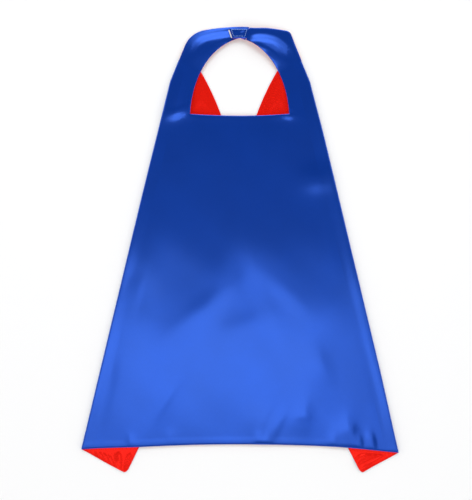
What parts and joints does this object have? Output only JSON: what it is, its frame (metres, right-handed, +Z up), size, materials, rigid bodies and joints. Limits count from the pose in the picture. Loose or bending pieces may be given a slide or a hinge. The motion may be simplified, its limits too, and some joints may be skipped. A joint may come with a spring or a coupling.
{
  "type": "superhero cape",
  "caption": "Two-ply satin cape laid flat with both sides folded under, neck straps that meet in a hook-and-loop tab, contrast lining.",
  "frame": {"origin": "middle of the folded cape's footprint, on the surface it lies on", "axes": "+Y along the cape towards the neck straps, +X to the wearer's right, +Z up from the surface, blue shell uppermost"},
  "size_m": [0.537, 0.7558, 0.0097],
  "materials": {
    "blue_satin": "polyester satin, soft sheen",
    "red_satin": "polyester satin, soft sheen",
    "hook_tape": "white moulded hook tape, matt",
    "loop_tape": "white napped loop tape, matt",
    "box_stitching": "light blue lockstitch thread",
    "seam_thread": "dark blue spun thread"
  },
  "bodies": {
    "back_panel": {"shell_back_panel": "blue_satin", "lining_back_panel": "red_satin", "seam_hem": "seam_thread", "seam_neckline": "seam_thread"},
    "left_side_fold": {"shell_left_side_fold": "blue_satin", "lining_left_side_fold": "red_satin", "seam_left_side_fold": "seam_thread"},
    "right_side_fold": {"shell_right_side_fold": "blue_satin", "lining_right_side_fold": "red_satin", "seam_right_side_fold": "seam_thread"},
    "left_strap": {"shell_left_strap": "blue_satin", "lining_left_strap": "red_satin", "seam_left_strap": "seam_thread", "loop_tape": "loop_tape", "loop_tape_stitching": "box_stitching"},
    "right_strap": {"shell_right_strap": "blue_satin", "lining_right_strap": "red_satin", "seam_right_strap_outer": "seam_thread", "seam_right_strap_inner": "seam_thread"},
    "closure_tab": {"shell_closure_tab": "blue_satin", "lining_closure_tab": "red_satin", "seam_closure_tab": "seam_thread", "hook_tape": "hook_tape", "hook_tape_stitching": "box_stitching"}
  },
  "joints": [
    {"name": "left_side_unfold", "type": "hinge", "parent": "back_panel", "child": "left_side_fold", "pos_m": [-0.2688, -0.34208, 0.0021], "axis": [0.2327, 0.9726, 0], "range_deg": [0, 180]},
    {"name": "right_side_unfold", "type": "hinge", "parent": "back_panel", "child": "right_side_fold", "pos_m": [0.2688, -0.34208, 0.0021], "axis": [0.2327, -0.9726, 0], "range_deg": [0, 180]},
    {"name": "right_strap_lift", "type": "hinge", "parent": "back_panel", "child": "right_strap", "pos_m": [0.0845, 0.31492, 0.0042], "axis": [0.8763, 0.4818, 0], "range_deg": [0, 110]},
    {"name": "left_strap_lift", "type": "hinge", "parent": "back_panel", "child": "left_strap", "pos_m": [-0.0845, 0.31492, 0.0042], "axis": [0.8763, -0.4818, 0], "range_deg": [0, 55]},
    {"name": "closure_tab_peel", "type": "hinge", "parent": "right_strap", "child": "closure_tab", "pos_m": [0.014, 0.36572, 0.0096], "axis": [0.2756, 0.9613, 0], "range_deg": [0, 135]}
  ],
  "couplings": [
    {"joint": "left_strap_lift", "follows": "right_strap_lift", "ratio": 0.5}
  ]
}
